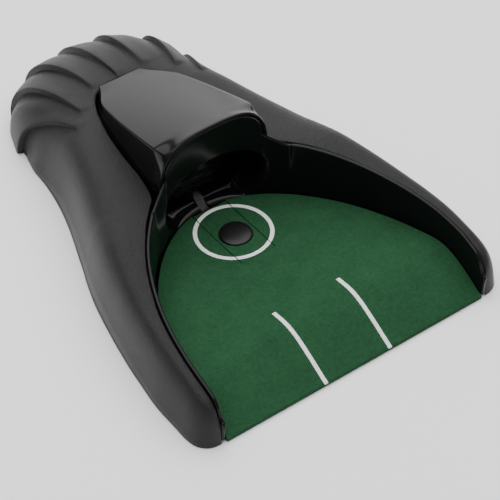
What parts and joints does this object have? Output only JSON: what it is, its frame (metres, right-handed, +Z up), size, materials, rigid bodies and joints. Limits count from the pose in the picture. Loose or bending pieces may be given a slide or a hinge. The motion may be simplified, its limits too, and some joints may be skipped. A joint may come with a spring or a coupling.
{
  "type": "ball-return putting cup",
  "caption": "Electric putting cup: turf-covered ramp into a ball pocket under a raised hood, with a hinged kicker flap driven by a solenoid and a domed ball sensor.",
  "frame": {"origin": "middle of the footprint on the floor: bounding-box bottom centre", "axes": "+X to the player's right, +Y from the open front to the fluted rear, +Z up"},
  "size_m": [0.2224, 0.3197, 0.086],
  "materials": {
    "shell_black": "black ABS with a fine pebble grain, satin",
    "gloss_black": "piano-black ABS, polished",
    "base_black": "plain moulded ABS, satin",
    "dome_black": "moulded nylon, semi-gloss",
    "white_nylon": "natural nylon",
    "rubber_black": "soft rubber",
    "green_turf": "short-pile needle-felt turf, brushed",
    "white_ink": "white screen ink on turf",
    "zinc_steel": "zinc-plated steel",
    "bright_steel": "turned soft iron",
    "copper_wire": "enamelled copper winding",
    "circuit_board": "glass-epoxy board with solder mask",
    "capacitor_sleeve": "shrink sleeve on an aluminium can",
    "cell_sleeve": "printed sleeve on a steel can",
    "red_wire": "PVC-insulated wire"
  },
  "bodies": {
    "housing": {"housing_shell": "shell_black", "hood_cover": "gloss_black", "ball_well": "gloss_black", "base_plate": "base_black", "rubber_feet": "rubber_black", "case_screws": "zinc_steel", "ramp_deck": "base_black", "putting_turf": "green_turf", "guide_lines": "white_ink", "target_ring": "white_ink", "flap_hinge_pin": "zinc_steel", "sensor_board": "circuit_board", "sensor_switch": "dome_black", "lever_pin": "zinc_steel", "lever_bracket": "zinc_steel", "lever_spring": "zinc_steel", "solenoid_frame": "zinc_steel", "solenoid_bobbin": "white_nylon", "solenoid_coil": "copper_wire", "solenoid_bracket": "zinc_steel", "mechanism_screws": "zinc_steel", "control_board": "circuit_board", "board_screws": "zinc_steel", "storage_capacitors": "capacitor_sleeve", "driver_transistor": "dome_black", "wire_header": "white_nylon", "power_switch": "dome_black", "battery_tray": "base_black", "battery_cells": "cell_sleeve", "battery_contacts": "zinc_steel", "battery_springs": "zinc_steel", "battery_wires": "red_wire", "coil_wires": "red_wire", "sensor_wires": "red_wire"},
    "flap": {"kick_flap": "base_black", "flap_turf": "green_turf", "flap_ring": "white_ink"},
    "dome": {"dome_button": "dome_black", "dome_clip": "zinc_steel"},
    "stem": {"sensor_stem": "white_nylon"},
    "lever": {"lift_lever": "base_black", "clevis_pin": "zinc_steel"},
    "plunger": {"solenoid_plunger": "bright_steel"},
    "knob": {"switch_knob": "dome_black"},
    "door": {"battery_door": "base_black"}
  },
  "joints": [
    {"name": "flap_kick", "type": "hinge", "parent": "housing", "child": "flap", "pos_m": [0, -0.0608, 0.0074], "axis": [1, 0, 0], "range_deg": [0, 16]},
    {"name": "dome_press", "type": "slide", "parent": "flap", "child": "dome", "axis": [0, 0, -1], "range_m": [0, 0.0005], "stiffness_N_per_m": 600, "springref_m": -0.0005},
    {"name": "stem_press", "type": "slide", "parent": "housing", "child": "stem", "axis": [0, 0, -1], "range_m": [0, 0.0005]},
    {"name": "lever_swing", "type": "hinge", "parent": "housing", "child": "lever", "pos_m": [0, 0.011, 0.013], "axis": [-1, 0, 0], "range_deg": [0, 24.9], "stiffness_Nm_per_rad": 0.04, "springref_deg": -11.46, "deforming": ["lever_spring"]},
    {"name": "plunger_pull", "type": "slide", "parent": "housing", "child": "plunger", "axis": [0, 1, 0], "range_m": [0, 0.0061]},
    {"name": "knob_slide", "type": "slide", "parent": "housing", "child": "knob", "axis": [1, 0, 0], "range_m": [0, 0.0042]},
    {"name": "door_open", "type": "hinge", "parent": "housing", "child": "door", "pos_m": [0, 0.0856, 0.0016], "axis": [-1, 0, 0], "range_deg": [0, 95]}
  ],
  "couplings": [
    {"joint": "flap_kick", "follows": "plunger_pull", "rad_per_m": 45.7},
    {"joint": "lever_swing", "follows": "plunger_pull", "rad_per_m": 70.8},
    {"joint": "stem_press", "follows": "dome_press", "ratio": 1}
  ]
}
